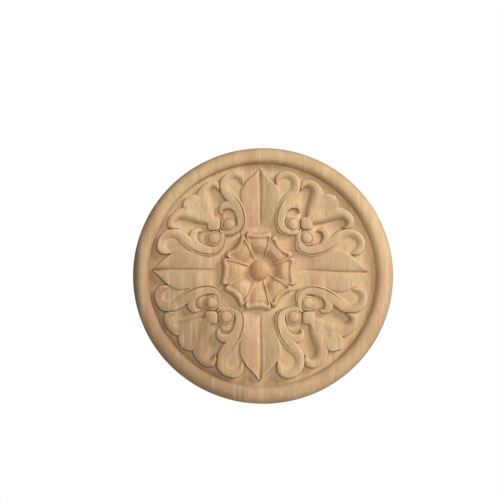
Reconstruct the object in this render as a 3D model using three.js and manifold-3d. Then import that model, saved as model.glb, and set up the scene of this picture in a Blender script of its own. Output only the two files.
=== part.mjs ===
// Carved wood applique: one round board with a rounded rim, a sunk field and a raised ornament.
// The ornament has an eight-petal rosette, four spear leaves, eight scrolls and four fan leaves.
// Millimetres, +Z up. The flat back lies on Y = 0 and the carved face looks along -Y.
// The carving is drawn for one eighth of the circle: across from the upright middle line, and up
// from the rosette's middle, both as shares of the field radius. Heights above the ground are
// shares of the relief, and millimetres in the rosette.

import * as THREE from "three";
import Module from "manifold-3d";

const wasm = await Module();
wasm.setup();

// Board
const boardWidth = 202;
const boardHeight = 198.6;
const boardThickness = 20;
const backEdgeRound = 1.2;

// Rim and sunk field. The crest of the rim lies this share of the way in from the board's edge.
const rimWidth = 13.3;
const rimSideHeight = 8.5;
const fieldDepth = 7.5;
const fieldRight = -0.4;
const fieldUp = 0.9;
const rimCrest = 0.6;
const rimSteps = 72;
const rimArcSteps = 8;

// Ornament, as the hand set it out: its middle lies left of and above the middle of the board.
// Toward full reach it is drawn in a little all round, more to the top and less to the bottom, so
// that it stays clear of the rim.
const middleRight = -2.3;
const middleUp = 4.8;
const drawnAllRound = -0.021;
const drawnAcross = 0.005;
const drawnUp = -0.046;
const ornamentReach = 0.971;
const reliefHeight = 6.6;
const rootDepth = 2;
const shortestEdge = 0.45;

// Rosette: its boss sits a little left of the ornament's middle and the petals a little further,
// and they spread wider up and down than sideways.
const petalCount = 8;
const uprightPetalReach = 0.322;
const slantedPetalReach = 0.295;
const hornReach = 0.352;
const hornSide = 0.78;
const petalRight = -0.0186;
const petalUp = -0.008;
const rosetteWidth = 0.96;
const rosetteHeight = 1.045;
const petalOverlap = 0.006;
const petalSideDish = 0.8;
const coreRimHeight = 3.6;
const coreHeight = 0.8;
const bossRight = -0.0105;
const bossRadius = 0.092;
const bossHeight = 7.4;

// Eyes of the scrolls and buttons of the fan leaves
const eyeAcross = 0.294;
const eyeUp = 0.42;
const eyeRingRadius = 0.079;
const eyeGrooveRadius = 0.058;
const eyeBallRadius = 0.05;
const eyeRingHeight = 0.66;
const eyeGrooveHeight = 0.45;
const eyeBallHeight = 0.93;
const buttonPlace = 0.434;
const buttonRadius = 0.05;
const buttonWallHeight = 0.64;
const buttonHeight = 0.84;

const groundY = -(boardThickness - fieldDepth);
// The field is as high as a circle of this radius, and as oval as the board.
const fieldRadius = boardHeight / 2 - rimWidth;
const fieldStretch = (boardWidth / 2 - rimWidth) / fieldRadius;
const turn = Math.PI * 2;

// A closed body from points and triangles, turned the right way out.
function closedBody(points, faces) {
  let volume = 0;
  for (const [a, b, c] of faces) {
    volume += points[a].dot(points[b].clone().cross(points[c]));
  }
  const vertProperties = new Float32Array(points.flatMap((p) => [p.x, p.y, p.z]));
  const ordered = volume < 0 ? faces.map(([a, b, c]) => [a, c, b]) : faces;
  const triVerts = new Uint32Array(ordered.flat());
  return new wasm.Manifold(new wasm.Mesh({ numProp: 3, vertProperties, triVerts }));
}

// Faces of a body made of equal rings laid one after the other, closed by a fan at each end.
function ringFaces(ringTotal, ringSize) {
  const faces = [];
  for (let i = 0; i + 1 < ringTotal; i++) {
    for (let j = 0; j < ringSize; j++) {
      const a = i * ringSize + j;
      const b = i * ringSize + ((j + 1) % ringSize);
      faces.push([a, b, b + ringSize], [a, b + ringSize, a + ringSize]);
    }
  }
  return faces;
}

function closedRings(rings, startPoint, endPoint) {
  const size = rings[0].length;
  const points = rings.flat();
  const faces = ringFaces(rings.length, size);
  const start = points.push(startPoint) - 1;
  const end = points.push(endPoint) - 1;
  const last = (rings.length - 1) * size;
  for (let j = 0; j < size; j++) {
    const k = (j + 1) % size;
    faces.push([start, k, j], [end, last + j, last + k]);
  }
  return closedBody(points, faces);
}

// A closed body under a grid of top points, with a foot point below each of them.
function gridBody(tops, feet) {
  const size = tops[0].length * 2;
  const points = tops.flatMap((row, i) => [...row, ...feet[i].slice().reverse()]);
  const faces = ringFaces(tops.length, size);
  const last = (tops.length - 1) * size;
  for (let j = 0; j + 1 < size / 2; j++) {
    const [a, b, c, d] = [j, j + 1, size - 2 - j, size - 1 - j];
    faces.push([a, c, b], [a, d, c]);
    faces.push([last + a, last + b, last + c], [last + a, last + c, last + d]);
  }
  return closedBody(points, faces);
}

function middleOf(points) {
  const sum = points.reduce((total, p) => total.add(p), new THREE.Vector3());
  return sum.divideScalar(points.length);
}

// Places a point of the drawn eighth in one of the eight copies, out from the ground by height mm.
function placeIn(quarter, mirror) {
  const cosine = Math.round(Math.cos((quarter * turn) / 4));
  const sine = Math.round(Math.sin((quarter * turn) / 4));
  return (across, up, height) => {
    const side = across * mirror;
    const x = side * cosine - up * sine;
    const z = side * sine + up * cosine;
    const change = drawnAllRound * Math.hypot(x, z) + drawnAcross * x + drawnUp * z;
    const size = fieldRadius * (1 + change / ornamentReach);
    return new THREE.Vector3(
      middleRight + x * size * fieldStretch,
      groundY - height,
      middleUp + z * size,
    );
  };
}

// A smooth line through rows of numbers: two for the place, then up to three sizes.
function smoothRows(rows, steps) {
  const places = rows.map(([x, y]) => new THREE.Vector3(x, y, 0));
  const sizes = rows.map(([, , a = 0, b = 0, c = 0]) => new THREE.Vector3(a, b, c));
  const placeCurve = new THREE.CatmullRomCurve3(places, false, "catmullrom", 0.5);
  const sizeCurve = new THREE.CatmullRomCurve3(sizes, false, "catmullrom", 0.5);
  const out = [];
  for (let i = 0; i <= steps; i++) {
    const p = placeCurve.getPoint(i / steps);
    const s = sizeCurve.getPoint(i / steps);
    out.push([p.x, p.y, s.x, s.y, s.z]);
  }
  return out;
}

// A rounded band of wood along a line of rows (across, up, half width, height, groove).
// Each pair of the profile is a share of the half width, to the left, and a share of the height.
function band(rows, steps, profile, place) {
  const line = smoothRows(rows, steps);
  const rings = line.map(([x, y, half, height, groove], i) => {
    const [ax, ay] = line[Math.max(i - 1, 0)];
    const [bx, by] = line[Math.min(i + 1, steps)];
    const length = Math.hypot(bx - ax, by - ay);
    const across = [-(by - ay) / length, (bx - ax) / length];
    const top = profile(groove).map(([side, share]) =>
      place(
        x + across[0] * half * side,
        y + across[1] * half * side,
        share * height * reliefHeight,
      ),
    );
    const feet = [1, -1].map((side) =>
      place(x + across[0] * half * side, y + across[1] * half * side, -rootDepth),
    );
    return [...top, ...feet];
  });
  return closedRings(rings, middleOf(rings[0]), middleOf(rings[rings.length - 1]));
}

const roundProfile = () => [
  [-1, 0.6],
  [-0.4, 0.98],
  [0.4, 0.98],
  [1, 0.6],
];

// The arm of a scroll carries a thin fillet along its outer side, with a groove inside the fillet.
// The fillet stands up as the groove deepens, and has its whole height at the full groove.
const fullGroove = 0.1;
const armProfile = (groove) => {
  const fillet = Math.min(groove / fullGroove, 1);
  return [
    [-1, 0.6],
    [-0.5, 0.96],
    [0.25, 0.98],
    [0.52, 0.88 - groove],
    [0.74, 0.8 + 0.14 * fillet],
    [1, 0.62 + groove],
  ];
};

// A flat-topped piece inside the straight-sided outline of the rows.
function plate(rows, height, place) {
  const flat = rows.map(([x, y]) => new THREE.Vector2(x, y));
  const count = flat.length;
  const points = [
    ...flat.map((p) => place(p.x, p.y, height * reliefHeight)),
    ...flat.map((p) => place(p.x, p.y, -rootDepth)),
  ];
  const faces = [];
  for (const [a, b, c] of THREE.ShapeUtils.triangulateShape(flat, [])) {
    faces.push([a, b, c], [a + count, c + count, b + count]);
  }
  const clockwise = THREE.ShapeUtils.isClockWise(flat);
  for (let i = 0; i < count; i++) {
    const j = (i + 1) % count;
    const [from, to] = clockwise ? [j, i] : [i, j];
    faces.push([from, from + count, to + count], [from, to + count, to]);
  }
  return closedBody(points, faces);
}

// A round piece turned from pairs (radius, height), standing at a place of the drawn eighth.
function turned(across, up, profile, steps, place) {
  const rings = profile.map(([radius, height]) => {
    const ring = [];
    for (let j = 0; j < steps; j++) {
      const angle = (j / steps) * turn;
      const x = across + radius * Math.cos(angle);
      const y = up + radius * Math.sin(angle);
      ring.push(place(x, y, height));
    }
    return ring;
  });
  const lastHeight = profile[profile.length - 1][1];
  return closedRings(rings, place(across, up, -rootDepth), place(across, up, lastHeight));
}

// Pairs (radius, height) of a dome standing on a short upright wall, with a small flat on its top.
const domeFlat = 0.03;
function domeProfile(radius, wallHeight, topHeight, steps) {
  const pairs = [[radius, -rootDepth]];
  for (let i = 0; i < steps; i++) {
    const angle = (i / steps) * (turn / 4);
    pairs.push([radius * Math.cos(angle), wallHeight + (topHeight - wallHeight) * Math.sin(angle)]);
  }
  pairs.push([radius * domeFlat, topHeight]);
  return pairs;
}

// Board with its rim: the rim runs between the board's edge and the foot of the sunk field, which
// is cut a little off the middle, so the rim is wider on the right and at the bottom.
function boardWithRim() {
  const ring = (share, y) => {
    const points = [];
    for (let j = 0; j < rimSteps; j++) {
      const angle = (j / rimSteps) * turn;
      const outer = [(boardWidth / 2) * Math.cos(angle), (boardHeight / 2) * Math.sin(angle)];
      const inner = [
        fieldRight + fieldRadius * fieldStretch * Math.cos(angle),
        fieldUp + fieldRadius * Math.sin(angle),
      ];
      points.push(
        new THREE.Vector3(
          outer[0] + (inner[0] - outer[0]) * share,
          y,
          outer[1] + (inner[1] - outer[1]) * share,
        ),
      );
    }
    return points;
  };
  const rings = [ring(backEdgeRound / rimWidth, 0), ring(0, -backEdgeRound)];
  for (let i = 0; i <= rimArcSteps; i++) {
    const angle = (i / rimArcSteps) * (turn / 2);
    const outside = i * 2 < rimArcSteps;
    const foot = outside ? rimSideHeight : -groundY;
    const share = rimCrest - (outside ? rimCrest : 1 - rimCrest) * Math.cos(angle);
    rings.push(ring(share, -(foot + (boardThickness - foot) * Math.sin(angle))));
  }
  const back = new THREE.Vector3(0, 0, 0);
  const ground = new THREE.Vector3(fieldRight, groundY, fieldUp);
  return closedRings(rings, back, ground);
}

// How far a petal reaches at a place from -1 to 1 across it: hollow in the middle, a horn near each
// side, and drawn back where it meets its neighbour.
const hornReturn = 0.03;
function petalEnd(side, slanted) {
  const middle = slanted ? slantedPetalReach : uprightPetalReach;
  const toHorn = Math.abs(side) / hornSide;
  if (toHorn < 1) {
    return middle + (hornReach - middle) * toHorn ** 2;
  }
  const past = (Math.abs(side) - hornSide) / (1 - hornSide);
  return hornReach - hornReturn * past ** 2;
}

// Rosette: petals that flare outward from the boss. A low floor lies round the boss, then each petal
// rises steeply to a pillow and dips before the rolled lip at its end. Ridges part the petals.
// Rows: share of the way out, height of the pillow, height of the ridge at each side.
const petalRows = [
  [0, 0.9, 1.1],
  [0.14, 1.2, 2],
  [0.36, 4.6, 5],
  [0.62, 6, 6.7],
  [0.86, 4.9, 7.1],
  [1, 6.7, 6.7],
];
const petalStartShare = 0.8;
const coreShare = 0.93;
function rosette(place) {
  const acrossSteps = [-1, -0.87, -0.76, -0.36, 0.36, 0.76, 0.87, 1];
  const ridgeSide = 0.8;
  const pillowSide = 0.5;
  const petalStart = bossRadius * petalStartShare;
  const bodies = [];
  for (let k = 0; k < petalCount; k++) {
    const middle = (k / petalCount) * turn;
    const at = (along, side, height) => {
      const radius = petalStart + (petalEnd(side, k % 2 === 1) - petalStart) * along;
      const halfAngle = turn / petalCount / 2 + Math.asin(petalOverlap / 2 / radius);
      const angle = middle + side * halfAngle;
      return place(
        radius * Math.cos(angle) * rosetteWidth + bossRight + (petalRight - bossRight) * along,
        radius * Math.sin(angle) * rosetteHeight + petalUp * along,
        height,
      );
    };
    const tops = petalRows.map(([along, pillow, ridge]) =>
      acrossSteps.map((side) => {
        const dished = along < 1 && Math.abs(side) > pillowSide ? petalSideDish : 0;
        return at(along, side, Math.abs(side) > ridgeSide ? ridge : pillow - dished);
      }),
    );
    const feet = petalRows.map(([along]) => acrossSteps.map((side) => at(along, side, -rootDepth)));
    bodies.push(gridBody(tops, feet));
  }
  const core = [
    [slantedPetalReach * coreShare, -rootDepth],
    [slantedPetalReach * coreShare, coreRimHeight],
    [bossRadius, coreHeight],
  ];
  bodies.push(turned(bossRight, 0, core, petalCount * 4, place));
  bodies.push(turned(bossRight, 0, domeProfile(bossRadius, 1, bossHeight, 4), 20, place));
  return bodies;
}

// Spear leaf: rows of height up, half width, edge height and height of the groove in the middle.
const spearRows = [
  [0.3, 0.17, 0.1, 0.05],
  [0.388, 0.163, 0.25, 0.14],
  [0.47, 0.14, 0.5, 0.3],
  [0.578, 0.154, 0.72, 0.46],
  [0.705, 0.185, 0.85, 0.56],
  [0.818, 0.145, 0.88, 0.58],
  [0.921, 0.045, 0.8, 0.5],
  [0.975, 0.002, 0.66, 0.5],
];

// The flank of the spear leaf bends at this share of the half width, this much nearer the edge's
// height than the groove's.
const flankBend = 0.4;
const flankRise = 0.6;

function spear(place) {
  const steps = 10;
  const shape = smoothRows(spearRows, steps);
  const rings = shape.map(([up, half, edge, groove]) => {
    const bend = (groove + (edge - groove) * flankRise) * reliefHeight;
    return [
      place(-half, up, -rootDepth),
      place(-half, up, edge * reliefHeight),
      place(-half * flankBend, up, bend),
      place(0, up, groove * reliefHeight),
      place(half * flankBend, up, bend),
      place(half, up, edge * reliefHeight),
      place(half, up, -rootDepth),
    ];
  });
  return closedRings(rings, middleOf(rings[0]), middleOf(rings[steps]));
}

// Scroll: an arm that curls over in a lobe, with the hooked leaflet and the eye at its foot and a
// scooped hollow between the lobe and the spear leaf.
const scrollHollow = 0.4;
const ballShoulder = 0.7;
const eyeShoulderHeight = 0.84;
const ballCrown = 0.3;
const armRows = [
  [0.33, 0.35, 0.012, 0.6, 0],
  [0.262, 0.35, 0.022, 0.66, 0.1],
  [0.2, 0.382, 0.033, 0.74, 0.2],
  [0.177, 0.44, 0.041, 0.8, 0.3],
  [0.185, 0.515, 0.05, 0.84, 0.3],
  [0.212, 0.59, 0.058, 0.88, 0.28],
  [0.262, 0.668, 0.054, 0.92, 0.12],
  [0.318, 0.742, 0.05, 0.95, 0],
  [0.334, 0.822, 0.047, 0.98, 0],
  [0.303, 0.887, 0.047, 1, 0],
  [0.244, 0.912, 0.043, 1, 0],
  [0.187, 0.897, 0.034, 0.97, 0],
  [0.163, 0.862, 0.024, 0.9, 0],
  [0.152, 0.826, 0.012, 0.8, 0],
];
const leafletRows = [
  [0.244, 0.574, 0.029, 0.8],
  [0.298, 0.605, 0.038, 0.84],
  [0.346, 0.596, 0.034, 0.82],
  [0.364, 0.558, 0.02, 0.72],
  [0.36, 0.53, 0.008, 0.62],
];

function scroll(place) {
  const eye = [
    [eyeRingRadius, -rootDepth],
    [eyeRingRadius, eyeRingHeight * reliefHeight],
    [eyeGrooveRadius, eyeGrooveHeight * reliefHeight],
    [eyeBallRadius, eyeGrooveHeight * reliefHeight],
    [eyeBallRadius * ballShoulder, eyeShoulderHeight * reliefHeight],
    [eyeBallRadius * ballCrown, eyeBallHeight * reliefHeight],
  ];
  const hollow = armRows.slice(4).concat([[0.09, 0.8], [0.1, 0.6]]);
  return [
    plate(hollow, scrollHollow, place),
    band(armRows, 17, armProfile, place),
    band(leafletRows, 6, roundProfile, place),
    turned(eyeAcross, eyeUp, eye, 10, place),
  ];
}

// Fan leaf: a dished body, a curled side lobe on each side, a pillow between them that widens to
// the rim, and a button where the two scrolls meet.
const fanOutline = [
  [0.44, 0.47],
  [0.465, 0.56],
  [0.501, 0.641],
  [0.524, 0.714],
  [0.519, 0.781],
  [0.56, 0.765],
  [0.583, 0.727],
  [0.635, 0.69],
];
const fanDish = 0.56;
const sideLobeRows = [
  [0.442, 0.478, 0.028, 0.62],
  [0.472, 0.556, 0.042, 0.68],
  [0.508, 0.638, 0.052, 0.76],
  [0.528, 0.712, 0.052, 0.86],
  [0.519, 0.779, 0.047, 0.94],
  [0.474, 0.823, 0.041, 0.97],
  [0.425, 0.827, 0.034, 0.93],
  [0.396, 0.797, 0.022, 0.85],
  [0.391, 0.77, 0.009, 0.72],
];
// Middle lobe: distance along the diagonal, half width and height.
const middleLobeRows = [
  [0.62, 0.012, 0.4],
  [0.714, 0.027, 0.5],
  [0.78, 0.039, 0.62],
  [0.843, 0.064, 0.78],
  [0.897, 0.086, 0.92],
  [0.939, 0.079, 0.9],
  [0.967, 0.045, 0.8],
  [0.984, 0.004, 0.66],
];

function fanLeaf(place, mirrored) {
  const otherHalf = fanOutline.map(([x, y]) => [y, x]).reverse();
  const diagonal = Math.SQRT1_2;
  const alongBand = middleLobeRows.map(([along, width, height]) => [
    along * diagonal,
    along * diagonal,
    width,
    height,
  ]);
  return [
    plate([...fanOutline, ...otherHalf], fanDish, place),
    band(sideLobeRows, 11, roundProfile, place),
    band(sideLobeRows, 11, roundProfile, mirrored),
    band(alongBand, 8, roundProfile, place),
    turned(
      buttonPlace,
      buttonPlace,
      domeProfile(buttonRadius, buttonWallHeight * reliefHeight, buttonHeight * reliefHeight, 2),
      10,
      place,
    ),
  ];
}

// One board, carved: every raised piece grows out of the ground of the field.
const raised = [];
for (let quarter = 0; quarter < 4; quarter++) {
  const right = placeIn(quarter, 1);
  const left = placeIn(quarter, -1);
  const diagonalMirror = (across, up, height) => right(up, across, height);
  raised.push(spear(right));
  raised.push(...scroll(right), ...scroll(left));
  raised.push(...fanLeaf(right, diagonalMirror));
}
raised.push(...rosette(placeIn(0, 1)));
let carved = boardWithRim();
for (const body of raised) {
  carved = carved.add(body);
}

// Where two pieces meet, the join leaves edges far shorter than any cut of the gouge. Each is drawn
// together to one point when the surface stays closed and no face turns over.
const leastTurnCosine = 0.5;
const leastFaceSize = 1e-4;
function closeShortEdges(points, faces, shortest) {
  const around = points.map(() => new Set());
  faces.forEach((face, index) => face.forEach((v) => around[v].add(index)));
  const neighbours = (v) => {
    const found = new Set();
    for (const index of around[v]) {
      faces[index].forEach((w) => found.add(w));
    }
    found.delete(v);
    return found;
  };
  const normalOf = (face, moved, target) => {
    const [a, b, c] = face.map((v) => (v === moved ? target : points[v]));
    return b.clone().sub(a).cross(c.clone().sub(a));
  };
  const canMove = (from, to) => {
    const shared = [...neighbours(from)].filter((v) => neighbours(to).has(v));
    if (shared.length !== 2) {
      return false;
    }
    for (const index of around[from]) {
      const face = faces[index];
      if (face.includes(to)) {
        continue;
      }
      const before = normalOf(face, -1, null);
      const after = normalOf(face, from, points[to]);
      if (before.dot(after) < leastTurnCosine * before.length() * after.length()) {
        return false;
      }
      if (after.length() < leastFaceSize) {
        return false;
      }
    }
    return true;
  };
  const move = (from, to) => {
    for (const index of [...around[from]]) {
      const face = faces[index];
      if (face.includes(to)) {
        face.forEach((v) => around[v].delete(index));
        faces[index] = null;
      } else {
        face[face.indexOf(from)] = to;
        around[to].add(index);
      }
    }
    around[from].clear();
  };
  let changed = true;
  while (changed) {
    changed = false;
    for (let index = 0; index < faces.length; index++) {
      for (let side = 0; side < 3 && faces[index]; side++) {
        const a = faces[index][side];
        const b = faces[index][(side + 1) % 3];
        if (points[a].distanceTo(points[b]) > shortest) {
          continue;
        }
        if (canMove(a, b)) {
          move(a, b);
          changed = true;
        } else if (canMove(b, a)) {
          move(b, a);
          changed = true;
        }
      }
    }
  }
  return faces.filter((face) => face);
}

const mesh = carved.getMesh();
const points = [];
for (let i = 0; i < mesh.numVert; i++) {
  const first = i * mesh.numProp;
  points.push(new THREE.Vector3(...mesh.vertProperties.subarray(first, first + 3)));
}
const joined = [];
for (let i = 0; i < mesh.numTri; i++) {
  joined.push([...mesh.triVerts.subarray(i * 3, i * 3 + 3)]);
}
const faces = closeShortEdges(points, joined, shortestEdge);
const geometry = new THREE.BufferGeometry();
geometry.setFromPoints(points);
geometry.setIndex(faces.flat());
geometry.computeVertexNormals();

const wood = new THREE.MeshStandardMaterial({ color: 0xc09d77, roughness: 0.7 });
const applique = new THREE.Mesh(geometry, wood);
applique.name = "carved_applique";

const group = new THREE.Group();
group.add(applique);

export default group;
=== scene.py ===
import math

import bmesh
import bpy
import numpy as np
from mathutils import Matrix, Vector
from mathutils.geometry import delaunay_2d_cdt


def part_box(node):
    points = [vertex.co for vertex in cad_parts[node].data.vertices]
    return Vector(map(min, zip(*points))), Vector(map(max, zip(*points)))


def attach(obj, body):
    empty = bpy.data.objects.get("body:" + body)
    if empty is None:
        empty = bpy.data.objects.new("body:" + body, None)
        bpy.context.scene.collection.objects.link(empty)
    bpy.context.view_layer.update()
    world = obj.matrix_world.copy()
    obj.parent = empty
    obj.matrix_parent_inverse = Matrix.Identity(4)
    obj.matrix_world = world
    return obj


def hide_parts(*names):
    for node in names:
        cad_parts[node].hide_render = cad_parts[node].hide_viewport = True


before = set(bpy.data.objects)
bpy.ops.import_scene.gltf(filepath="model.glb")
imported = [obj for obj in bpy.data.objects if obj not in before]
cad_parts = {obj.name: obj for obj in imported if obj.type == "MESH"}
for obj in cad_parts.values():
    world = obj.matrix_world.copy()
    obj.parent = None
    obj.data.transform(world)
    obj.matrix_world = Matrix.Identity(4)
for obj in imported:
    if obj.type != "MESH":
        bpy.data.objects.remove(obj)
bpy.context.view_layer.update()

# The view
# The applique hangs on nothing: it is seen square on, from far off, a little left of its middle
# and above it, with the photograph's margins round it.
low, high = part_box("carved_applique")
board_width = (high.x - low.x) * 1000
board_height = (high.z - low.z) * 1000
board_thickness = (high.y - low.y) * 1000
# The photograph is 388.45 mm wide in the plane of the rim's side, 8 mm before the board's back.
photo_width = 388.45
photo_plane = 8
lens = 120
far_limit = 20
view_right = -10.1
view_up = 20.2
camera_data = bpy.data.cameras.new("camera")
camera_data.lens = lens
camera_data.clip_end = far_limit
camera = bpy.data.objects.new("camera", camera_data)
distance = photo_width * lens / camera_data.sensor_width + photo_plane
camera.location = (view_right / 1000, -distance / 1000, view_up / 1000)
camera.rotation_euler = (math.radians(90), 0, 0)
bpy.context.scene.collection.objects.link(camera)
bpy.context.scene.camera = camera

# The floor and the light
# A small pale floor lies well below the board, and a white room gives the soft studio light. Two
# large lamps stand to the front and to the right, a little above, so the left walls fall in shade.
floor_half = 0.24
floor_drop = 0.27
floor_colour = (0.85, 0.85, 0.84, 1)
floor_roughness = 0.9
floor_mesh = bpy.data.meshes.new("floor")
floor_mesh.from_pydata(
    [(x * floor_half, y * floor_half, -floor_drop) for x, y in ((-1, -1), (1, -1), (1, 1), (-1, 1))],
    [],
    [(0, 1, 2, 3)],
)
floor = bpy.data.objects.new("floor", floor_mesh)
bpy.context.scene.collection.objects.link(floor)
floor_paint = bpy.data.materials.new("floor_paint")
floor_paint.use_nodes = True
floor_shader = floor_paint.node_tree.nodes["Principled BSDF"]
floor_shader.inputs["Base Color"].default_value = floor_colour
floor_shader.inputs["Roughness"].default_value = floor_roughness
floor_mesh.materials.append(floor_paint)

room_tint = (1, 0.99, 0.97, 1)
room_strength = 0.27
white = (1, 1, 1, 1)
room = bpy.data.worlds.new("room")
room.use_nodes = True
room_light = room.node_tree.nodes["Background"]
room_light.inputs["Color"].default_value = room_tint
room_light.inputs["Strength"].default_value = room_strength
seen_wall = room.node_tree.nodes.new("ShaderNodeBackground")
seen_wall.inputs["Color"].default_value = white
ray = room.node_tree.nodes.new("ShaderNodeLightPath")
seen_or_light = room.node_tree.nodes.new("ShaderNodeMixShader")
room.node_tree.links.new(ray.outputs["Is Camera Ray"], seen_or_light.inputs[0])
room.node_tree.links.new(room_light.outputs[0], seen_or_light.inputs[1])
room.node_tree.links.new(seen_wall.outputs[0], seen_or_light.inputs[2])
room.node_tree.links.new(seen_or_light.outputs[0], room.node_tree.nodes["World Output"].inputs["Surface"])
bpy.context.scene.world = room
bpy.context.scene.view_settings.view_transform = "Standard"


def lamp(name, place, size, power):
    data = bpy.data.lights.new(name, "AREA")
    data.energy = power
    data.size = size
    light = bpy.data.objects.new(name, data)
    light.location = place
    light.rotation_euler = (-Vector(place)).to_track_quat("-Z", "Y").to_euler()
    bpy.context.scene.collection.objects.link(light)


lamp("front_lamp", place=(0.3, -1.6, 0.3), size=0.7, power=12.4)
lamp("side_lamp", place=(1.1, -0.8, 0.75), size=0.55, power=17.8)

# The field
# The face of the board is sunk inside the rim, as an oval a little off the board's middle. The
# ornament stays standing on it, drawn full size on one eighth and repeated eight times. Its places
# are shares of the field's radius, across from the upright line and up from the rosette's middle.
rim_width = 13.3
field_radius = board_height / 2 - rim_width
field_stretch = (board_width / 2 - rim_width) / field_radius
field_right = -0.4
field_up = 0.9
field_depth = 7.5
relief = 6.6
pattern_edge = 1.04 * field_radius
# Each raised part of the ornament gives its height function and the lines that its cuts follow.
parts = []

# Spear leaves
# Four spear leaves point to the rim, straight up, down and to the sides. Their flanks are nearly
# flat, a V is cut down the middle of each, and near the rosette they sink into the ground.


def full_size(rows, lengths=3):
    rows = np.array(rows, float)
    rows[:, :lengths] *= field_radius
    return rows


def smooth_line(rows, per_span=8):
    rows = np.array(rows, float)
    ends = np.vstack([2 * rows[0] - rows[1], rows, 2 * rows[-1] - rows[-2]])
    t = np.linspace(0, 1, per_span, endpoint=False)[:, None]
    spans = [
        (2 * b + (c - a) * t + (2 * a - 5 * b + 4 * c - d) * t**2 + (3 * b - a - 3 * c + d) * t**3) / 2
        for a, b, c, d in zip(ends, ends[1:], ends[2:], ends[3:])
    ]
    return np.vstack(spans + [rows[-1:]])


def even_line(line, step):
    run = np.concatenate([[0], np.cumsum(np.hypot(*np.diff(line[:, :2], axis=0).T))])
    count = max(2, int(round(run[-1] / step)) + 1)
    wanted = np.linspace(0, run[-1], count)
    return np.stack([np.interp(wanted, run, column) for column in line.T], 1)


def nearest(points, line):
    """How far each point lies to the left of a line, and the line's own values beside it."""
    start, run = line[:-1, :2], np.diff(line[:, :2], axis=0)
    away = points[:, None, :] - start[None]
    share = np.clip((away * run).sum(2) / (run**2).sum(1), 0, 1)
    gap = away - share[..., None] * run
    best = (gap**2).sum(2).argmin(1)
    rows = np.arange(len(points))
    gap, share, run = gap[rows, best], share[rows, best], run[best]
    on_left = np.where(run[:, 0] * gap[:, 1] > run[:, 1] * gap[:, 0], 1, -1)
    values = line[best] + share[:, None] * (line[best + 1] - line[best])
    return np.hypot(gap[:, 0], gap[:, 1]) * on_left, values


beside_error = 0.08


def beside(line, offset):
    """The line moved sideways, without the places where it would cross itself."""
    along = np.gradient(line[:, :2], axis=0)
    along /= np.hypot(along[:, 0], along[:, 1])[:, None]
    sideways = np.stack([-along[:, 1], along[:, 0]], 1)
    moved = line[:, :2] + sideways * np.broadcast_to(offset, len(line))[:, None]
    real = nearest(moved, line)[0]
    wrong = np.abs(np.abs(real) - np.abs(offset)) > beside_error
    moved[wrong] = np.nan
    return moved


def ease(t):
    t = np.clip(t, 0, 1)
    return t * t * (3 - 2 * t)


wall_run, arris_run = 0.45, 1.1
wall_share, arris_share = 0.92, 0.08


def wall(depth):
    """The share of its height that a form has at this depth inside its edge: a steep cut, a soft arris."""
    return wall_share * np.clip(depth / wall_run, 0, 1) + arris_share * ease(depth / arris_run)


spear_rows = full_size([
    (0.17, 0.3), (0.165, 0.388), (0.14, 0.47), (0.14, 0.506), (0.154, 0.578), (0.176, 0.642),
    (0.185, 0.705), (0.176, 0.759), (0.145, 0.818), (0.108, 0.863), (0.045, 0.925), (0.003, 0.979),
], 2)
spear_edge = smooth_line(spear_rows)
spear_up = np.array((0.3, 0.388, 0.47, 0.578, 0.705, 0.818, 0.921, 0.975)) * field_radius
spear_height = np.array((0.1, 0.25, 0.5, 0.72, 0.85, 0.88, 0.82, 0.7)) * relief
spear_middle = np.array((0.05, 0.12, 0.26, 0.43, 0.53, 0.56, 0.52, 0.5)) * relief
spear_least_half = 0.5
spear_flank_bend = 2.1
spear_groove_half = 1.6
spear_groove_depth = 1.4
spear_groove_full = 0.6
groove_from, groove_to = 0.4, 0.9
groove_steps = 90


def spear(points):
    across, up = points.T
    depth = nearest(points, spear_edge)[0]
    top = np.interp(up, spear_up, spear_height)
    half = np.interp(up, spear_edge[:, 1], spear_edge[:, 0])
    middle = np.interp(up, spear_up, spear_middle)
    share = np.clip(across / np.maximum(half, spear_least_half), 0, 1)
    flank = middle + (top - middle) * (1 - (1 - share) ** spear_flank_bend)
    groove = spear_groove_depth * np.clip(1 - across / spear_groove_half, 0, 1)
    groove = groove * ease(top / (spear_groove_full * relief))
    return np.where(depth > 0, (flank - groove) * wall(depth), 0)


line_step = 0.75
spear_lines = []
spear_even = even_line(spear_edge, line_step)
for inward in (0, wall_run, arris_run):
    spear_lines.append(beside(spear_even, np.full(len(spear_even), inward)))
groove_up = np.linspace(groove_from, groove_to, groove_steps) * field_radius
spear_lines.append(np.stack([np.full(groove_steps, spear_groove_half), groove_up], 1))
parts.append((spear, spear_lines))

# Scrolls
# Eight scrolls flank the spears in mirrored pairs. An arm with a thin fillet on its outer side
# winds round a ball, runs along the spear and curls over in a cupped lobe, with a scooped hollow
# inside it and a hooked leaflet beside the ball.

# Rows: across, up and half width, then shares of the relief: the height and the fillet's groove.
arm_rows = full_size([
    (0.4, 0.37, 0.02, 0.6, 0.06), (0.335, 0.347, 0.022, 0.62, 0.08), (0.262, 0.343, 0.03, 0.68, 0.16),
    (0.196, 0.379, 0.041, 0.75, 0.24), (0.174, 0.44, 0.047, 0.8, 0.24), (0.183, 0.515, 0.053, 0.84, 0.24),
    (0.212, 0.59, 0.058, 0.88, 0.22), (0.262, 0.668, 0.054, 0.92, 0.1), (0.318, 0.742, 0.05, 0.95, 0),
    (0.334, 0.822, 0.047, 0.98, 0), (0.303, 0.887, 0.047, 1, 0), (0.244, 0.91, 0.045, 1, 0),
    (0.193, 0.89, 0.042, 0.97, 0), (0.173, 0.855, 0.034, 0.9, 0), (0.163, 0.82, 0.018, 0.78, 0),
])
arm_line = smooth_line(np.column_stack([arm_rows, np.arange(len(arm_rows))]))
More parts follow.
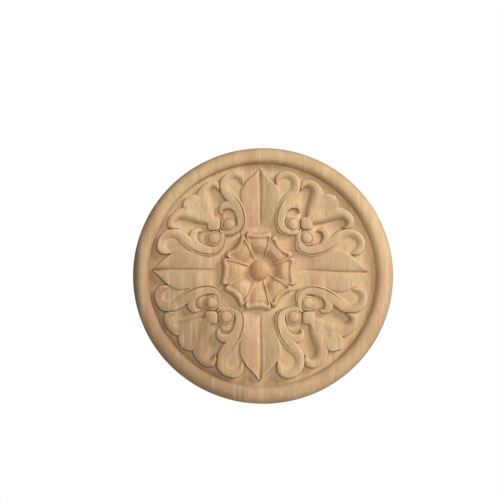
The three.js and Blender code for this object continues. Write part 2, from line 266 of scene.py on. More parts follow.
arm_sides, arm_body = (-1, -0.6, -0.1, 0.4, 0.7, 1), (0.8, 0.94, 1, 0.97, 0.95, 0.86)
lobe_sides, lobe_cup = (-1, -0.7, -0.35, 0.05, 0.35, 0.65, 1), (0.88, 0.98, 1, 0.95, 0.86, 0.72, 0.58)
lobe_from, lobe_run = 6.2, 2.6
fillet_groove_side = 0.55
fillet_groove_half = 0.15
fine_cuts = (-0.3, 0.05)
fine_cut_side = 0.13
fine_cut_depth = 0.25
fine_cut_from, fine_cut_to, fine_cut_fade = 2.5, 7.3, 1.5


def arm(points):
    offset, values = nearest(points, arm_line)
    half, height, groove, place = values[:, 2], values[:, 3], values[:, 4], values[:, 5]
    side, depth = offset / half, half - np.abs(offset)
    body = np.interp(side, arm_sides, arm_body)
    cup = np.interp(side, lobe_sides, lobe_cup)
    lobe = ease((place - lobe_from) / lobe_run)
    top = (body * (1 - lobe) + cup * lobe) * height * relief
    top -= groove * relief * np.clip(1 - np.abs(side - fillet_groove_side) / fillet_groove_half, 0, 1)
    for cut in fine_cuts:
        run = ease((place - fine_cut_from) / fine_cut_fade)
        run = run * (1 - ease((place - fine_cut_to) / fine_cut_fade))
        top -= fine_cut_depth * run * np.clip(1 - np.abs(side - cut) / fine_cut_side, 0, 1)
    return np.where(depth > 0, top * wall(depth), 0)


least_side = 0.25


def border_lines(line, side_offset):
    """Foot, wall top and arris of a border that lies side_offset away from a line."""
    sign = np.sign(np.median(side_offset))
    for inward in (0, wall_run, arris_run):
        away = side_offset - sign * inward
        moved = beside(line, away)
        moved[sign * away < least_side] = np.nan
        yield moved


def band_lines(line, *sides):
    """The borders of a band, and lines at shares of its half width from one row of it to another."""
    even = even_line(line, line_step)
    half = even[:, 2]
    lines = [*border_lines(even, half), *border_lines(even, -half)]
    for side, first, last in sides:
        cut = beside(even, half * side)
        cut[(even[:, -1] < first) | (even[:, -1] > last)] = np.nan
        lines.append(cut)
    return lines


fillet_rows = (1.4, 7.6)
fine_cut_rows = (2.6, 8.5)
cup_line = (-0.45, 7.5, 13)
parts.append((arm, band_lines(
    arm_line,
    (fillet_groove_side, *fillet_rows),
    (fillet_groove_side - fillet_groove_half, *fillet_rows),
    (fillet_groove_side + fillet_groove_half, *fillet_rows),
    *((cut, *fine_cut_rows) for cut in fine_cuts),
    cup_line,
)))

# Rows: across, up and half width, then the height as a share of the relief.
leaflet_rows = full_size([
    (0.236, 0.57, 0.03, 0.84), (0.27, 0.598, 0.035, 0.84), (0.312, 0.609, 0.039, 0.84),
    (0.349, 0.594, 0.034, 0.82), (0.367, 0.56, 0.021, 0.74), (0.361, 0.532, 0.011, 0.66),
])
leaflet_line = smooth_line(leaflet_rows)
leaflet_sides, leaflet_body = (-1, -0.6, 0, 0.6, 1), (0.86, 0.97, 1, 0.95, 0.84)


def band(points, line, sides, shares):
    offset, values = nearest(points, line)
    half, height = values[:, 2], values[:, 3]
    depth = half - np.abs(offset)
    top = np.interp(offset / half, sides, shares) * height * relief
    return np.where(depth > 0, top * wall(depth), 0)


def leaflet(points):
    return band(points, leaflet_line, leaflet_sides, leaflet_body)


parts.append((leaflet, band_lines(leaflet_line)))

hollow_floor = 0.57
hollow_under_spear = full_size([(0.09, 0.8), (0.1, 0.6)], 2)
hollow_edge = smooth_line(np.vstack([arm_rows[5:, :2], hollow_under_spear, arm_rows[5:6, :2]]), 4)


def inside(points, outline):
    x, y = points.T
    found = np.zeros(len(points), bool)
    for (x0, y0), (x1, y1) in zip(outline[:, :2], np.roll(outline[:, :2], -1, 0)):
        crosses = (y0 > y) != (y1 > y)
        if y0 != y1:
            found ^= crosses & (x < (x1 - x0) * (y - y0) / (y1 - y0) + x0)
    return found


def hollow(points):
    return np.where(inside(points, hollow_edge), hollow_floor * relief, 0)


parts.append((hollow, []))

ball_place = full_size([(0.294, 0.42)], 2)[0]
ball_cup = 0.072 * field_radius
ball_foot = 0.059 * field_radius
ball_radius = 0.0535 * field_radius
ball_floor = 0.54
ball_floor_rise = 0.1
ball_rise = 0.4
ball_rings = (1, 0.94, 0.8)
bed_place = full_size([(0.292, 0.492)], 2)[0]
bed_radius = 0.09 * field_radius
bed_height = 0.36


def ball(points):
    """The ball in its round cup, and the bed that fills the corner between the cup and the leaflet."""
    away = np.hypot(*(points - ball_place).T)
    floor_height = ball_floor + ball_floor_rise * ease((away - ball_radius) / (ball_foot - ball_radius))
    dome = relief * (ball_floor + ball_rise * np.sqrt(np.clip(1 - (away / ball_radius) ** 2, 0, 1)))
    bed = relief * bed_height * ease(2 - 2 * np.hypot(*(points - bed_place).T) / bed_radius)
    cup = np.where(away < ball_cup, relief * floor_height * wall(ball_cup - away), 0)
    return np.where(away < ball_radius, dome, np.maximum(cup, bed))


ring_step = 0.7
fewest_ring_steps = 12


def circle(middle, radius, step=ring_step):
    count = max(fewest_ring_steps, int(2 * math.pi * radius / step))
    angle = np.linspace(0, 2 * math.pi, count + 1)
    return np.stack([middle[0] + radius * np.cos(angle), middle[1] + radius * np.sin(angle)], 1)


parts.append((ball, [
    circle(ball_place, radius)
    for radius in (ball_cup, ball_cup - wall_run, ball_foot, *(ball_radius * share for share in ball_rings))
]))

# Fan leaves
# Four fan leaves fill the diagonals: a dished body between two curled side lobes, a middle lobe
# that widens to the rim, and a button where the two neighbouring scrolls meet.
fan_outline = full_size([
    (0.42, 0.46), (0.455, 0.52), (0.472, 0.56), (0.501, 0.641), (0.524, 0.714), (0.56, 0.7), (0.6, 0.66),
    (0.64, 0.64), (0.5, 0.4),
], 2)
fan_dish = 0.66
fan_swell = 0.12
fan_swell_place = 0.68 * field_radius
fan_swell_reach = 0.08 * field_radius


def fan_body(points):
    along = points.sum(1) * math.sqrt(0.5)
    swell = fan_swell * np.exp(-((along - fan_swell_place) / fan_swell_reach) ** 2)
    return np.where(inside(points, fan_outline), (fan_dish + swell) * relief, 0)


parts.append((fan_body, []))

side_lobe_line = smooth_line(full_size([
    (0.442, 0.478, 0.03, 0.66), (0.472, 0.556, 0.05, 0.74), (0.508, 0.638, 0.064, 0.82),
    (0.527, 0.712, 0.066, 0.88), (0.513, 0.775, 0.056, 0.95), (0.47, 0.815, 0.05, 0.98),
    (0.428, 0.818, 0.042, 0.94), (0.4, 0.792, 0.028, 0.87), (0.393, 0.765, 0.012, 0.74),
]))
side_lobe_sides = (-1, -0.6, -0.1, 0.25, 0.6, 0.85, 1)
side_lobe_body = (0.84, 0.94, 1, 0.94, 0.7, 0.34, 0.1)


def side_lobe(points):
    return band(points, side_lobe_line, side_lobe_sides, side_lobe_body)


parts.append((side_lobe, band_lines(side_lobe_line)))

diagonal = math.sqrt(0.5)
# Rows: out along the diagonal, half width, height.
middle_lobe_rows = [
    (0.62, 0.02, 0.5), (0.714, 0.04, 0.66), (0.78, 0.055, 0.7), (0.843, 0.076, 0.76),
    (0.897, 0.09, 0.85), (0.939, 0.082, 0.9), (0.967, 0.05, 0.84), (0.984, 0.016, 0.74),
]
middle_lobe_line = smooth_line(full_size([
    (out * diagonal, out * diagonal, half, height) for out, half, height in middle_lobe_rows
]))
middle_lobe_sides, middle_lobe_body = (-1, -0.8, 0, 0.8, 1), (0.94, 1, 0.93, 1, 0.94)


def middle_lobe(points):
    return band(points, middle_lobe_line, middle_lobe_sides, middle_lobe_body)


parts.append((middle_lobe, band_lines(middle_lobe_line)))

button_place = full_size([(0.427, 0.427)], 2)[0]
button_radius = 0.06 * field_radius
button_height = 0.88
button_fall = 0.2
button_bend = 2.5
button_squareness = 3.2


def button_reach(offsets):
    """How far out a place lies from the button's middle, measured so that the button is a rounded square."""
    return (np.abs(offsets) ** button_squareness).sum(1) ** (1 / button_squareness)


def button(points):
    away = button_reach(points - button_place)
    crown = relief * (button_height - button_fall * (away / button_radius) ** button_bend)
    return np.where(away < button_radius, crown * wall(button_radius - away), 0)


def rounded_square(radius):
    ring = circle((0, 0), 1, ring_step / radius)
    return button_place + ring * (radius / button_reach(ring))[:, None]


parts.append((button, [rounded_square(button_radius - inward) for inward in (0, wall_run, arris_run)]))

# Rosette
# Eight petals flare out from a round boss. Each is a pillow that falls steeply to the boss, with a
# broad rolled lip at its end between two rounded horns. A ridge between two fine cuts parts them.
petal_half = math.pi / 8
boss_radius = 0.092 * field_radius
boss_height = 7.4
boss_foot = 1
upright_end = smooth_line([
    (0, 0.335), (0.25, 0.337), (0.45, 0.344), (0.62, 0.356), (0.76, 0.36), (0.87, 0.352), (0.95, 0.335),
    (1, 0.312),
])
slanted_end = smooth_line([
    (0, 0.316), (0.25, 0.319), (0.46, 0.329), (0.64, 0.346), (0.78, 0.353), (0.88, 0.348), (0.95, 0.333),
    (1, 0.312),
])
petal_start = 0.8
petal_along = (0, 0.12, 0.24, 0.38, 0.52, 0.68, 0.84, 1)
petal_floor = (0.5, 0.6, 1.0, 3.6, 4.9, 4.8, 4.1, 3.9)
petal_pillow = (0, 0.1, 0.3, 1.1, 2.1, 2.2, 1.3, 0.3)
petal_fall_bend = 0.1
petal_lips = (0.8, 1.2, 2.4, 4.9, 6.2, 6.9, 7.2, 7.3)
ridge_near, ridge_far = 0.5, 1.6
ridge_dip = 0.7
ridge_dip_from, ridge_dip_run = 0.5, 0.4
ridge_dip_width = 0.8
petal_cut_half = 0.38
petal_cut = 0.45
petal_cut_fade = 0.3
end_lip_width = 4.4
end_lip_wall = 1.5
end_lip_rise = 0.3
end_round = 3.3
end_round_bend, end_round_fullness = 2.2, 0.7


def petal_end(side, slanted):
    near, far = (np.interp(np.abs(side), *line.T) for line in (upright_end, slanted_end))
    return np.where(slanted, far, near) * field_radius


def rosette(points):
    away = np.hypot(*points.T)
    angle = np.arctan2(points[:, 0], points[:, 1])
    slanted = angle > petal_half
    side = np.clip((angle - np.where(slanted, 2 * petal_half, 0)) / petal_half, -1, 1)
    end_depth = petal_end(side, slanted) - away
    start = petal_start * boss_radius
    along = np.clip((away - start) / (petal_end(0 * side, slanted) - start), 0, 1)
    ridge = ridge_near + (ridge_far - ridge_near) * along
    from_joint = away * np.sin(petal_half * (1 - np.abs(side)))
    past_ridge, past_lip = from_joint - ridge, end_depth - end_lip_width
    pillow = np.interp(along, petal_along, petal_pillow) * (1 - side**2)
    inner = np.interp(along - petal_fall_bend * side**2, petal_along, petal_floor) + pillow
    lips = np.interp(along, petal_along, petal_lips)
    inside_ridge = ease(past_ridge / petal_cut_half / 2 + 0.5)
    share = np.minimum(inside_ridge, ease(past_lip / end_lip_wall + end_lip_rise))
    top = lips + (inner - lips) * share
    cut = petal_cut * ease(along / petal_cut_fade) * np.clip(1 - np.abs(past_ridge) / petal_cut_half, 0, 1)
    top -= cut * (past_lip > 0)
    dip = ridge_dip * ease((along - ridge_dip_from) / ridge_dip_run)
    top -= dip * np.clip(1 - from_joint / (ridge_dip_width * ridge), 0, 1)
    end_wall = (1 - np.clip(1 - end_depth / end_round, 0, 1) ** end_round_bend) ** end_round_fullness
    body = np.where(end_depth > 0, top * end_wall, 0)
    dome = boss_foot + (boss_height - boss_foot) * np.sqrt(np.clip(1 - (away / boss_radius) ** 2, 0, 1))
    return np.where(away < boss_radius, np.maximum(dome, body), body)


def around(bearing, reach):
    return np.stack([reach * np.sin(bearing), reach * np.cos(bearing)], 1)


boss_rings = (1, 0.94, 0.78)
end_steps = 48
end_line_places = (0, 0.3 * end_round, end_round, end_lip_width, end_lip_width + 0.7 * end_lip_wall)
ridge_steps = 36
ridge_end = 0.345
petal_lines = [circle((0, 0), boss_radius * share) for share in boss_rings]
petal_side = np.linspace(-1, 1, end_steps)
for axis in (0, 2 * petal_half):
    for inward in end_line_places:
        petal_lines.append(around(axis + petal_side * petal_half, petal_end(petal_side, axis > 0) - inward))
ridge_reach = np.linspace(boss_radius, ridge_end * field_radius, ridge_steps)
ridge_at = ridge_near + (ridge_far - ridge_near) * np.linspace(0, 1, ridge_steps)
petal_lines.append(around(np.full(ridge_steps, petal_half), ridge_reach))
for past in (-petal_cut_half, 0, petal_cut_half):
    for way in (1, -1):
        ridge_bearing = petal_half + way * np.arcsin((ridge_at + past) / ridge_reach)
        petal_lines.append(around(ridge_bearing, ridge_reach))
parts.append((rosette, petal_lines))

# The carved face
# The lines of all the cuts and a close filling of points are joined into one net over an eighth
# of the field. The net is laid down eight times, moved as the hand set it out, and raised.
edge_gap = 0.4
join_slack = 0.25
probe_reach = 0.5


def carved_height(points):
    return np.max([height(points) for height, _ in parts], 0)


def in_eighth(points):
    return (
        (points[:, 0] >= 0)
        & (points[:, 1] >= points[:, 0])
        & (np.hypot(*points.T) < pattern_edge - edge_gap)
    )


# A line counts where its own part stands highest, so none runs on under another part.
cuts = []
for height, lines in parts:
    others = [other for other, _ in parts if other is not height]
    for line in lines:
        good = ~np.isnan(line[:, 0])
        safe = np.where(good[:, None], line, 0.0)
        beyond = np.max([other(safe) for other in others], 0)
        own = height(safe) + join_slack
        shifts = ((probe_reach, 0), (-probe_reach, 0), (0, probe_reach), (0, -probe_reach))
        beside_own = np.max([height(safe + shift) for shift in shifts], 0)
        good &= (beyond < np.maximum(own, beside_own)) & in_eighth(safe)
        run = []
        for keep, point in zip(good, safe):
            if keep:
                run.append(point)
            elif run:
                cuts.append(np.array(run))
                run = []
        if run:
            cuts.append(np.array(run))
cuts = [cut for cut in cuts if len(cut) > 2]

snap = 0.3
line_points, line_edges = [], []
on_upright, on_diagonal = [], []
for cut in cuts:
    cut = cut.copy()
    near_upright = cut[:, 0] < snap
    near_diagonal = (cut[:, 1] - cut[:, 0]) * diagonal < snap
    cut[near_upright, 0] = 0
    middle = (cut[near_diagonal, 0] + cut[near_diagonal, 1]) / 2
    cut[near_diagonal] = np.stack([middle, middle], 1)
    on_upright.extend(cut[near_upright, 1])
    on_diagonal.extend(middle / diagonal)
    first = len(line_points)
    line_points.extend(map(tuple, cut))
    line_edges.extend((first + i, first + i + 1) for i in range(len(cut) - 1))

fine_step = 0.66
plain_step = 1.3
border_gap = 0.35


def border_places(taken):
    taken = np.unique(np.round(np.array(taken), 3))
    regular = np.linspace(0, pattern_edge, int(pattern_edge / fine_step) + 1)
    gap = np.abs(regular[:, None] - taken[None]).min(1)
    kept_places = regular[(gap > border_gap) | (regular == 0) | (regular == pattern_edge)]
    return np.unique(np.concatenate([kept_places, taken]))


for taken, direction in ((on_upright, (0, 1)), (on_diagonal, (diagonal, diagonal))):
    places = border_places(taken)
    first = len(line_points)
    line_points.extend((direction[0] * place, direction[1] * place) for place in places)
    line_edges.extend((first + i, first + i + 1) for i in range(len(places) - 1))
arc_steps = 84
first = len(line_points)
arc_angle = np.linspace(0, math.pi / 4, arc_steps + 1)
line_points.extend(zip(pattern_edge * np.sin(arc_angle), pattern_edge * np.cos(arc_angle)))
line_edges.extend((first + i, first + i + 1) for i in range(arc_steps))

fixed = np.array(line_points)
border_clear = 0.45 * fine_step
arc_clear = 0.6
flat_height = 0.01
clear_share = 0.5
block_size = 400
net_error = 1e-4
grid = []
for row in range(int(pattern_edge / (fine_step * math.sqrt(3) / 2)) + 2):
    for column in range(int(pattern_edge / fine_step) + 2):
        across = (column + (row % 2) / 2) * fine_step
        up = row * fine_step * math.sqrt(3) / 2
        grid.append((across, up, row % 2 == 0 and column % 2 == 0))
grid = np.array(grid)
coarse = grid[:, 2] > 0
grid = grid[:, :2]
held = (
    (grid[:, 0] > border_clear)
    & ((grid[:, 1] - grid[:, 0]) * diagonal > border_clear)
    & (np.hypot(*grid.T) < pattern_edge - arc_clear)
)
grid, coarse = grid[held], coarse[held]
flat = carved_height(grid) < flat_height
grid = grid[~flat | coarse]
step_at = np.where(carved_height(grid) < flat_height, plain_step, fine_step)
gaps = []
for i in range(0, len(grid), block_size):
    block = grid[i:i + block_size]
    gaps.append(np.sqrt(((block[:, None] - fixed[None]) ** 2).sum(2).min(1)))
grid = grid[np.concatenate(gaps) > clear_share * step_at]
filling = [Vector(place) for place in np.vstack([fixed, grid])]
net_points, _, net_faces, _, _, _ = delaunay_2d_cdt(filling, line_edges, [], 0, net_error, False)
net = np.array([tuple(point) for point in net_points])
eighth_faces = np.array(net_faces)
on_border = 0.002
net[net[:, 0] < on_border, 0] = 0
on_line = np.abs(net[:, 1] - net[:, 0]) < on_border
net[on_line] = net[on_line].mean(1)[:, None]
upright, slanted = net[:, 0] == 0, net[:, 0] == net[:, 1]
eighth_faces = eighth_faces[~(upright[eighth_faces].all(1) | slanted[eighth_faces].all(1))]
heights = carved_height(net)

# The rosette's middle lies left of the board's and above it, and toward the top the ornament is
# drawn smaller, so that it fills the field evenly all round.
middle_right, middle_up = -2.3, 4.8
drawn_all_round, drawn_across, drawn_up = -0.021, 0.005, -0.046
ornament_reach = 0.971
boss_right = -0.5
petals_right, petals_up = -1.6, -0.7
petals_width, petals_height = 0.965, 1.04
petals_full = 0.3
rosette_reach, rosette_fade = 0.365, 0.06


def drifted(x, z):
    """The pattern as the hand drew it: boss and petals moved a little, and the whole drawn in at the top."""
    share = np.hypot(x, z) / field_radius
    near = 1 - ease((share - rosette_reach) / rosette_fade)
    petals = ease(share / petals_full) * near
    x = x * (1 + (petals_width - 1) * petals) + petals_right * petals + boss_right * (near - petals)
    z = z * (1 + (petals_height - 1) * petals) + petals_up * petals
    change = drawn_all_round * share + (drawn_across * x + drawn_up * z) / field_radius
    size = 1 + change / ornament_reach
    return np.stack([x * size, z * size], 1)


squeeze_from, squeeze_later = 0.93, 0.045
squeeze_turn = 4
least_reach = 1e-9


def on_board(x, z):
    """Places on the real board, in millimetres, of places of the regular pattern."""
    reach = np.maximum(np.hypot(x, z), least_reach)
    moved = drifted(x, z)
    far = drifted(x * pattern_edge / reach, z * pattern_edge / reach)

    def to_rim(vector):
        size = np.maximum(np.hypot(*vector.T), least_reach)
        unit = vector / size[:, None]
        centre = np.array([(field_right - middle_right) / field_stretch, field_up - middle_up])
        along = unit @ centre
        return size / (along + np.sqrt(field_radius**2 - centre @ centre + along**2))

    turn = np.abs(np.cos(2 * np.arctan2(z, x))) ** squeeze_turn
    start = (squeeze_from + squeeze_later * turn) * field_radius
    squeeze = np.clip((reach - start) / (pattern_edge - start), 0, 1)
    now = np.maximum(to_rim(moved), least_reach)
    wanted = now - (to_rim(far) - 1) * squeeze
    moved *= (wanted / now)[:, None]
    return moved * [field_stretch, 1] + [middle_right, middle_up]


all_x, all_z, all_h, all_faces = [], [], [], []
for quarter in range(4):
    for mirror in (1, -1):
        turned_x, turned_z = net[:, 0] * mirror, net[:, 1]
        for _ in range(quarter):
            turned_x, turned_z = -turned_z, turned_x
        first = len(net) * len(all_x)
        all_x.append(turned_x)
        all_z.append(turned_z)
        all_h.append(heights)
        all_faces.append((eighth_faces if mirror == 1 else eighth_faces[:, ::-1]) + first)
x, z, h = np.concatenate(all_x), np.concatenate(all_z), np.concatenate(all_h)
weld_steps = 2000
welded = np.round(np.stack([x, z], 1) * weld_steps).astype(int)
_, kept, index = np.unique(welded, axis=0, return_index=True, return_inverse=True)
index = index.reshape(-1)
x, z, h = x[kept], z[kept], h[kept]
faces = index[np.concatenate(all_faces)]
faces = faces[(faces != np.roll(faces, 1, 1)).all(1)]

wave_count = 14
wave_length = 17
hand = np.random.default_rng(7)
wobble_waves = hand.normal(0, 1, (wave_count, 2)) / wave_length
wobble_turns = hand.uniform(0, 2 * math.pi, (3, wave_count))


def wobble(kind, x, z, finer=1.0):
    """A smooth uneven value about -1 to 1 over the board, as the hand strays from the drawing."""
    across, up = wobble_waves.T * finer
    turns = np.outer(x, across) + np.outer(z, up) + wobble_turns[kind]
    return np.sin(turns).sum(1) / math.sqrt(wave_count)


place = on_board(x, z)
reach_share = np.hypot(x, z) / field_radius
stray = 0.5
stray_until, stray_fade = 0.8, 0.2
stray_here = stray * (1 - ease((reach_share - stray_until) / stray_fade))
place += np.stack([wobble(0, x, z), wobble(1, x, z)], 1) * stray_here[:, None]

# The tip of the right spear leaf hangs a little low.
tip_drop = 1.7
tip_from, tip_run = 0.5, 0.45
tip_half = 0.25
tip_end, tip_end_fade = 0.97, 0.06
toward_tip = ease((x / field_radius - tip_from) / tip_run)
beside_tip = 1 - ease(np.abs(z) / field_radius / tip_half)
past_tip = 1 - ease((reach_share - tip_end) / tip_end_fade)
place[:, 1] -= tip_drop * toward_tip * beside_tip * past_tip

height_stray = 0.06
tool_marks = 0.05
tool_mark_fineness = 13.0
crest_gap = 0.05
marks = tool_marks * np.clip(h, 0, 1) * wobble(0, x, z, tool_mark_fineness)
h = h * (1 + height_stray * wobble(2, x, z)) + marks
h = np.minimum(h, field_depth - crest_gap)
ground_y = -(board_thickness - field_depth)
field_points = np.stack([place[:, 0], ground_y - h, place[:, 1]], 1)
edge_error = 0.01
edge_ring = np.where(np.hypot(x, z) > pattern_edge - edge_error)[0]
edge_ring = edge_ring[np.argsort(np.arctan2(z[edge_ring], x[edge_ring]))]

# The rim
# The rim was left standing when the field was sunk: a broad slope outside, a tight roll inside.
# The back is plain and flat, to be glued on, with a small round at its edge.
rim_side = 8.5
back_round = 1.2
back_round_middle = 0.3
crest_share = 0.6
roll_steps, slope_steps = 7, 10
roll_crowding = 1.7
roll_bend, roll_fullness = 2.6, 2.0
slope_bend, slope_fullness = 2.7, 2.1
roll_places = 1 - np.linspace(0, 1, roll_steps) ** roll_crowding * (1 - crest_share)
slope_places = crest_share * (1 - np.linspace(0, 1, slope_steps)[1:])
inner = field_points[edge_ring][:, [0, 2]]
bearing = np.arctan2(inner[:, 1] - field_up, (inner[:, 0] - field_right) / field_stretch)
outer = np.stack([board_width / 2 * np.cos(bearing), board_height / 2 * np.sin(bearing)], 1)
rings = []
for share in np.concatenate([roll_places, slope_places])[1:]:
    if share > crest_share:
        t = (share - crest_share) / (1 - crest_share)
        rise = -ground_y + field_depth * (1 - t**roll_bend) ** (1 / roll_fullness)
    else:
        t = 1 - share / crest_share
        rise = rim_side + (board_thickness - rim_side) * (1 - t**slope_bend) ** (1 / slope_fullness)
    flat_place = outer + (inner - outer) * share
    rings.append(np.stack([flat_place[:, 0], np.full(len(inner), -rise), flat_place[:, 1]], 1))
half_round = back_round * back_round_middle
for inward, rise in ((0, rim_side / 2), (0, back_round), (half_round, half_round), (back_round, 0)):
    shrink = 1 - inward * 2 / board_width
    rings.append(np.stack([outer[:, 0] * shrink, np.full(len(inner), -rise), outer[:, 1] * shrink], 1))
points = [field_points]
ring_index = edge_ring
total = len(field_points)
rim_faces = []
count = len(edge_ring)
for ring in rings:
    new_index = total + np.arange(count)
    total += count
    points.append(ring)
    following, new_following = np.roll(ring_index, -1), np.roll(new_index, -1)
    rim_faces.append(np.stack([ring_index, new_index, following], 1))
    rim_faces.append(np.stack([following, new_index, new_following], 1))
    ring_index = new_index
points.append(np.array([[0.0, 0.0, 0.0]]))
rim_faces.append(np.stack([ring_index, np.full(count, total), np.roll(ring_index, -1)], 1))
points = np.concatenate(points) / 1000
faces = np.concatenate([faces, *rim_faces])

sharp_angle = 50
mesh = bpy.data.meshes.new("carved_wood_applique")
mesh.from_pydata(points.tolist(), [], faces.tolist())
applique = bpy.data.objects.new("carved_wood_applique", mesh)
bpy.context.scene.collection.objects.link(applique)
made = bmesh.new()
made.from_mesh(mesh)
bmesh.ops.recalc_face_normals(made, faces=made.faces)
made.to_mesh(mesh)
made.free()
mesh.polygons.foreach_set("use_smooth", np.ones(len(mesh.polygons), bool))
mesh.set_sharp_from_angle(angle=math.radians(sharp_angle))

# The wood
# Bare, open-pored light hardwood, sawn with its grain upright and left without stain or wax. Broad
# pink and straw patches, fine upright streaks and short dark pores vary it; painted shade darkens the cuts,
# and painted light pales the hollows and the arrises.
map_step = 0.4
map_count = int(pattern_edge / map_step) + 2
map_block = 4000
across_index, up_index = np.meshgrid(np.arange(map_count), np.arange(map_count), indexing="ij")
first_half = across_index <= up_index
height_map = np.zeros((map_count, map_count))
map_points = np.stack([across_index[first_half], up_index[first_half]], 1) * map_step
blocks = [carved_height(map_points[i:i + map_block]) for i in range(0, len(map_points), map_block)]
height_map[first_half] = np.concatenate(blocks)
height_map = np.maximum(height_map, height_map.T)


def hollowness(spread):
    """How far a place lies below the smoothed carving round it, in millimetres, over the height map."""
    reach = int(3 * spread / map_step) + 1
    kernel = np.exp(-((np.arange(-reach, reach + 1) * map_step / spread) ** 2) / 2)
    kernel /= kernel.sum()
    smoothed = np.pad(height_map, reach, mode="reflect")
    for axis in (0, 1):
        smoothed = np.apply_along_axis(lambda line: np.convolve(line, kernel, "same"), axis, smoothed)
    return smoothed[reach:-reach, reach:-reach] - height_map


def on_mesh(values, name):
    """Reads a map at every point of the field, and keeps it with the mesh under the given name."""
    column, row = np.abs(x) / map_step, np.abs(z) / map_step
    i, j = column.astype(int), row.astype(int)
    u, v = column - i, row - j
    read = (
        values[i, j] * (1 - u) * (1 - v) + values[i + 1, j] * u * (1 - v)
        + values[i, j + 1] * (1 - u) * v + values[i + 1, j + 1] * u * v
    )
    kept_values = np.zeros(len(points))
    kept_values[:len(read)] = read
    mesh.attributes.new(name, "FLOAT", "POINT").data.foreach_set("value", kept_values.astype(np.float32))


cut_spread, hollow_spread = 0.7, 3
on_mesh(hollowness(cut_spread), "in_cut")
on_mesh(hollowness(hollow_spread), "in_hollow")

wood = bpy.data.materials.new("bare_wood")
wood.use_nodes = True
tree = wood.node_tree
shader = tree.nodes["Principled BSDF"]


def node(kind, settings=(), **inputs):
    made = tree.nodes.new("ShaderNode" + kind)
    for name, value in dict(settings).items():
        setattr(made, name, value)
    for name, value in inputs.items():
        socket = made.inputs[name.replace("_", " ")]
        if isinstance(value, bpy.types.NodeSocket):
            tree.links.new(value, socket)
        else:
            socket.default_value = value
    return made


depth_share = 0.6


def grain(fine, along, detail, rough=0.5, warp=0.0):
    """Noise drawn out along the upright grain: fine and along are its steps in millimetres."""
    here = node("TexCoord").outputs["Object"]
    scaled = node("VectorMath", {"operation": "MULTIPLY"})
    tree.links.new(here, scaled.inputs[0])
    scaled.inputs[1].default_value = (1000 / fine, 1000 / fine * depth_share, 1000 / along)
    made = node("TexNoise", Scale=1.0, Detail=detail, Roughness=rough, Distortion=warp)
    tree.links.new(scaled.outputs[0], made.inputs["Vector"])
    return made.outputs["Fac"]


def ramp(value, *stops):
    made = node("ValToRGB")
    tree.links.new(value, made.inputs[0])
    while len(made.color_ramp.elements) < len(stops):
        made.color_ramp.elements.new(0.5)
    for element, (place, colour) in zip(made.color_ramp.elements, stops):
        element.position = place
        element.color = colour if isinstance(colour, tuple) else (colour, colour, colour, 1)
    return made.outputs[0]


def mix(share, first, second, way="MIX"):
    made = node("Mix", {"data_type": "RGBA", "blend_type": way})
    for socket, value in ((made.inputs[0], share), (made.inputs[6], first), (made.inputs[7], second)):
        if isinstance(value, bpy.types.NodeSocket):
            tree.links.new(value, socket)
        else:
            socket.default_value = value
    return made.outputs[2]


# Broad patches of tan and straw, some of them pink.
straw = (0.64, 0.445, 0.24, 1)
tan = (0.53, 0.345, 0.18, 1)
pink = (0.59, 0.36, 0.21, 1)
patches = ramp(grain(fine=26, along=60, detail=2, warp=0.4), (0.36, tan), (0.62, straw))
rosy = ramp(grain(fine=15, along=44, detail=1.5, warp=0.3), (0.5, 0.0), (0.64, 0.85))
colour = mix(rosy, patches, pink)

# The lower left is painted darker, with an uneven border: partly painted shade, on the side away from the
# light, and partly darker wood.
dark_wood_and_shade_colour = (0.29, 0.175, 0.085, 1)
dark_wood_and_shade_way = (-7.6, 0, -6.6)
dark_wood_and_shade_unevenness = 0.55
here = node("TexCoord").outputs["Object"]
toward_corner = node("VectorMath", {"operation": "DOT_PRODUCT"})
tree.links.new(here, toward_corner.inputs[0])
toward_corner.inputs[1].default_value = dark_wood_and_shade_way
uneven = node("Math", {"operation": "MULTIPLY_ADD"})
tree.links.new(grain(fine=22, along=38, detail=2, warp=0.6), uneven.inputs[0])
uneven.inputs[1].default_value = dark_wood_and_shade_unevenness
tree.links.new(toward_corner.outputs["Value"], uneven.inputs[2])
dark_wood_and_shade = ramp(uneven.outputs[0], (0.56, 0.0), (1.0, 0.82))
# Painted shade and darker wood over the lower left.
colour = mix(dark_wood_and_shade, colour, dark_wood_and_shade_colour)

# Upright bands of grain: pale and reddish ones at the left edge, and a pair left of the middle line.
wander_size = 0.005
wander = node("Math", {"operation": "MULTIPLY_ADD"})
tree.links.new(grain(fine=8, along=45, detail=2), wander.inputs[0])
wander.inputs[1].default_value = wander_size
tree.links.new(node("SeparateXYZ", Vector=here).outputs["X"], wander.inputs[2])
soft_side = 3


def stripe(colour, left, right, its_colour, strength):
    """Lays an upright band of grain between two places across, in millimetres, with soft sides."""
    band_from, band_to = (left + 1) / 1000, (right + 1 + soft_side) / 1000
    over = node("MapRange", Value=wander.outputs[0], From_Min=band_from, From_Max=band_to)
    side = soft_side / (right - left + soft_side)
    share = ramp(over.outputs[0], (0.0, 0.0), (side, strength), (1 - side, strength), (1.0, 0.0))
    return mix(share, colour, its_colour)


pale_edge_band, red_edge_band = (0.72, 0.53, 0.33, 1), (0.5, 0.265, 0.145, 1)
red_middle_band, pale_middle_band = (0.6, 0.32, 0.2, 1), (0.74, 0.56, 0.36, 1)
colour = stripe(colour, -96, -91, pale_edge_band, strength=0.5)
colour = stripe(colour, -91, -82, red_edge_band, strength=0.55)
colour = stripe(colour, -14, -3, red_middle_band, strength=0.4)
colour = stripe(colour, -3.5, 0.5, pale_middle_band, strength=0.35)
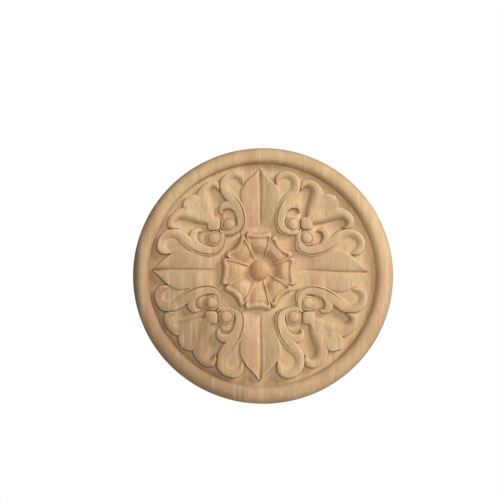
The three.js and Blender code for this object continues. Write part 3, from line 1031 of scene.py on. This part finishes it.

# The boss and the inner ends of the petals are painted a darker, warmer brown, centred left of the boss:
# partly painted shade on the boss's left side and down in the deep cup round it, partly the wood's warmer
# colour.
boss_shade_and_warm_colour = (0.56, 0.31, 0.14, 1)
boss_shade_left = 3
from_middle = node("VectorMath", {"operation": "DISTANCE"})
tree.links.new(here, from_middle.inputs[0])
from_middle.inputs[1].default_value = (
    (middle_right - boss_shade_left) / 1000, -board_thickness / 1000, middle_up / 1000
)
boss_shade_and_warmth = ramp(from_middle.outputs["Value"], (0.005, 0.9), (0.011, 0.5), (0.026, 0.35), (0.034, 0.0))
# Painted shade round the boss, mixed with warmer wood.
colour = mix(boss_shade_and_warmth, colour, boss_shade_and_warm_colour)

# Streaks, paler lines, fibres and pores run upright through all of it.
streak_colour = (0.44, 0.275, 0.14, 1)
streak_strength = (0.28, 0.28, 0.28, 1)
sheen_colour = (0.78, 0.59, 0.37, 1)
fibre_dark, fibre_light = (0.89, 0.88, 0.87, 1), (1.08, 1.08, 1.08, 1)
pore_colour = (0.33, 0.19, 0.09, 1)
pore_strength = (0.45, 0.45, 0.45, 1)
streaks = ramp(grain(fine=3.4, along=60, detail=3, rough=0.6), (0.34, 0.0), (0.66, 1.0))
colour = mix(mix(1.0, streaks, streak_strength, "MULTIPLY"), colour, streak_colour)
sheen = ramp(grain(fine=4.2, along=45, detail=2), (0.54, 0.0), (0.72, 0.36))
colour = mix(sheen, colour, sheen_colour)
fibres = ramp(grain(fine=0.7, along=14, detail=2, rough=0.6), (0.32, fibre_dark), (0.68, fibre_light))
colour = mix(1.0, colour, fibres, "MULTIPLY")
pores = ramp(grain(fine=0.55, along=5, detail=1, rough=0.4), (0.62, 0.0), (0.72, 1.0))
colour = mix(mix(1.0, pores, pore_strength, "MULTIPLY"), colour, pore_colour)

# Painted light and shade follow the carving: the broad hollows are painted paler, a painted light that lifts
# their shade, the arrises get a painted highlight, and painted shade lays dark lines down in the cuts.
hollow_light_colour = (0.74, 0.54, 0.32, 1)
cut_shade_colour = (0.2, 0.12, 0.055, 1)
arris_highlight_colour = (0.78, 0.58, 0.36, 1)
hollow_part = node("Attribute", {"attribute_name": "in_hollow"}).outputs["Fac"]
# Painted light: the broad hollows are painted paler, lifting their shade.
colour = mix(ramp(hollow_part, (0.3, 0.0), (1.0, 0.3)), colour, hollow_light_colour)
cut_part = node("Attribute", {"attribute_name": "in_cut"}).outputs["Fac"]
# Painted shade: dark lines down in the cuts.
colour = mix(ramp(cut_part, (0.35, 0.0), (1.1, 0.14)), colour, cut_shade_colour)
# Painted highlight: places standing above the carving round them, the arrises, are painted paler.
edge_part = node("Math", {"operation": "MULTIPLY"})
tree.links.new(cut_part, edge_part.inputs[0])
edge_part.inputs[1].default_value = -1
colour = mix(ramp(edge_part.outputs[0], (0.1, 0.0), (0.9, 0.35)), colour, arris_highlight_colour)
tree.links.new(colour, shader.inputs["Base Color"])

# The dark streaks are a little smoother than the wood between them, and the fibres stand up slightly.
specular = 0.3
fibre_strength = 0.25
fibre_rise = 0.0004
tree.links.new(ramp(streaks, (0.0, 0.62), (1.0, 0.78)), shader.inputs["Roughness"])
shader.inputs["Specular IOR Level"].default_value = specular
bump = node("Bump", Strength=fibre_strength, Distance=fibre_rise)
raised_fibres = ramp(grain(fine=0.6, along=9, detail=2, rough=0.6), (0.3, 0.0), (0.7, 1.0))
tree.links.new(raised_fibres, bump.inputs["Height"])
tree.links.new(bump.outputs[0], shader.inputs["Normal"])
mesh.materials.append(wood)
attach(applique, "root")
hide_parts("carved_applique")
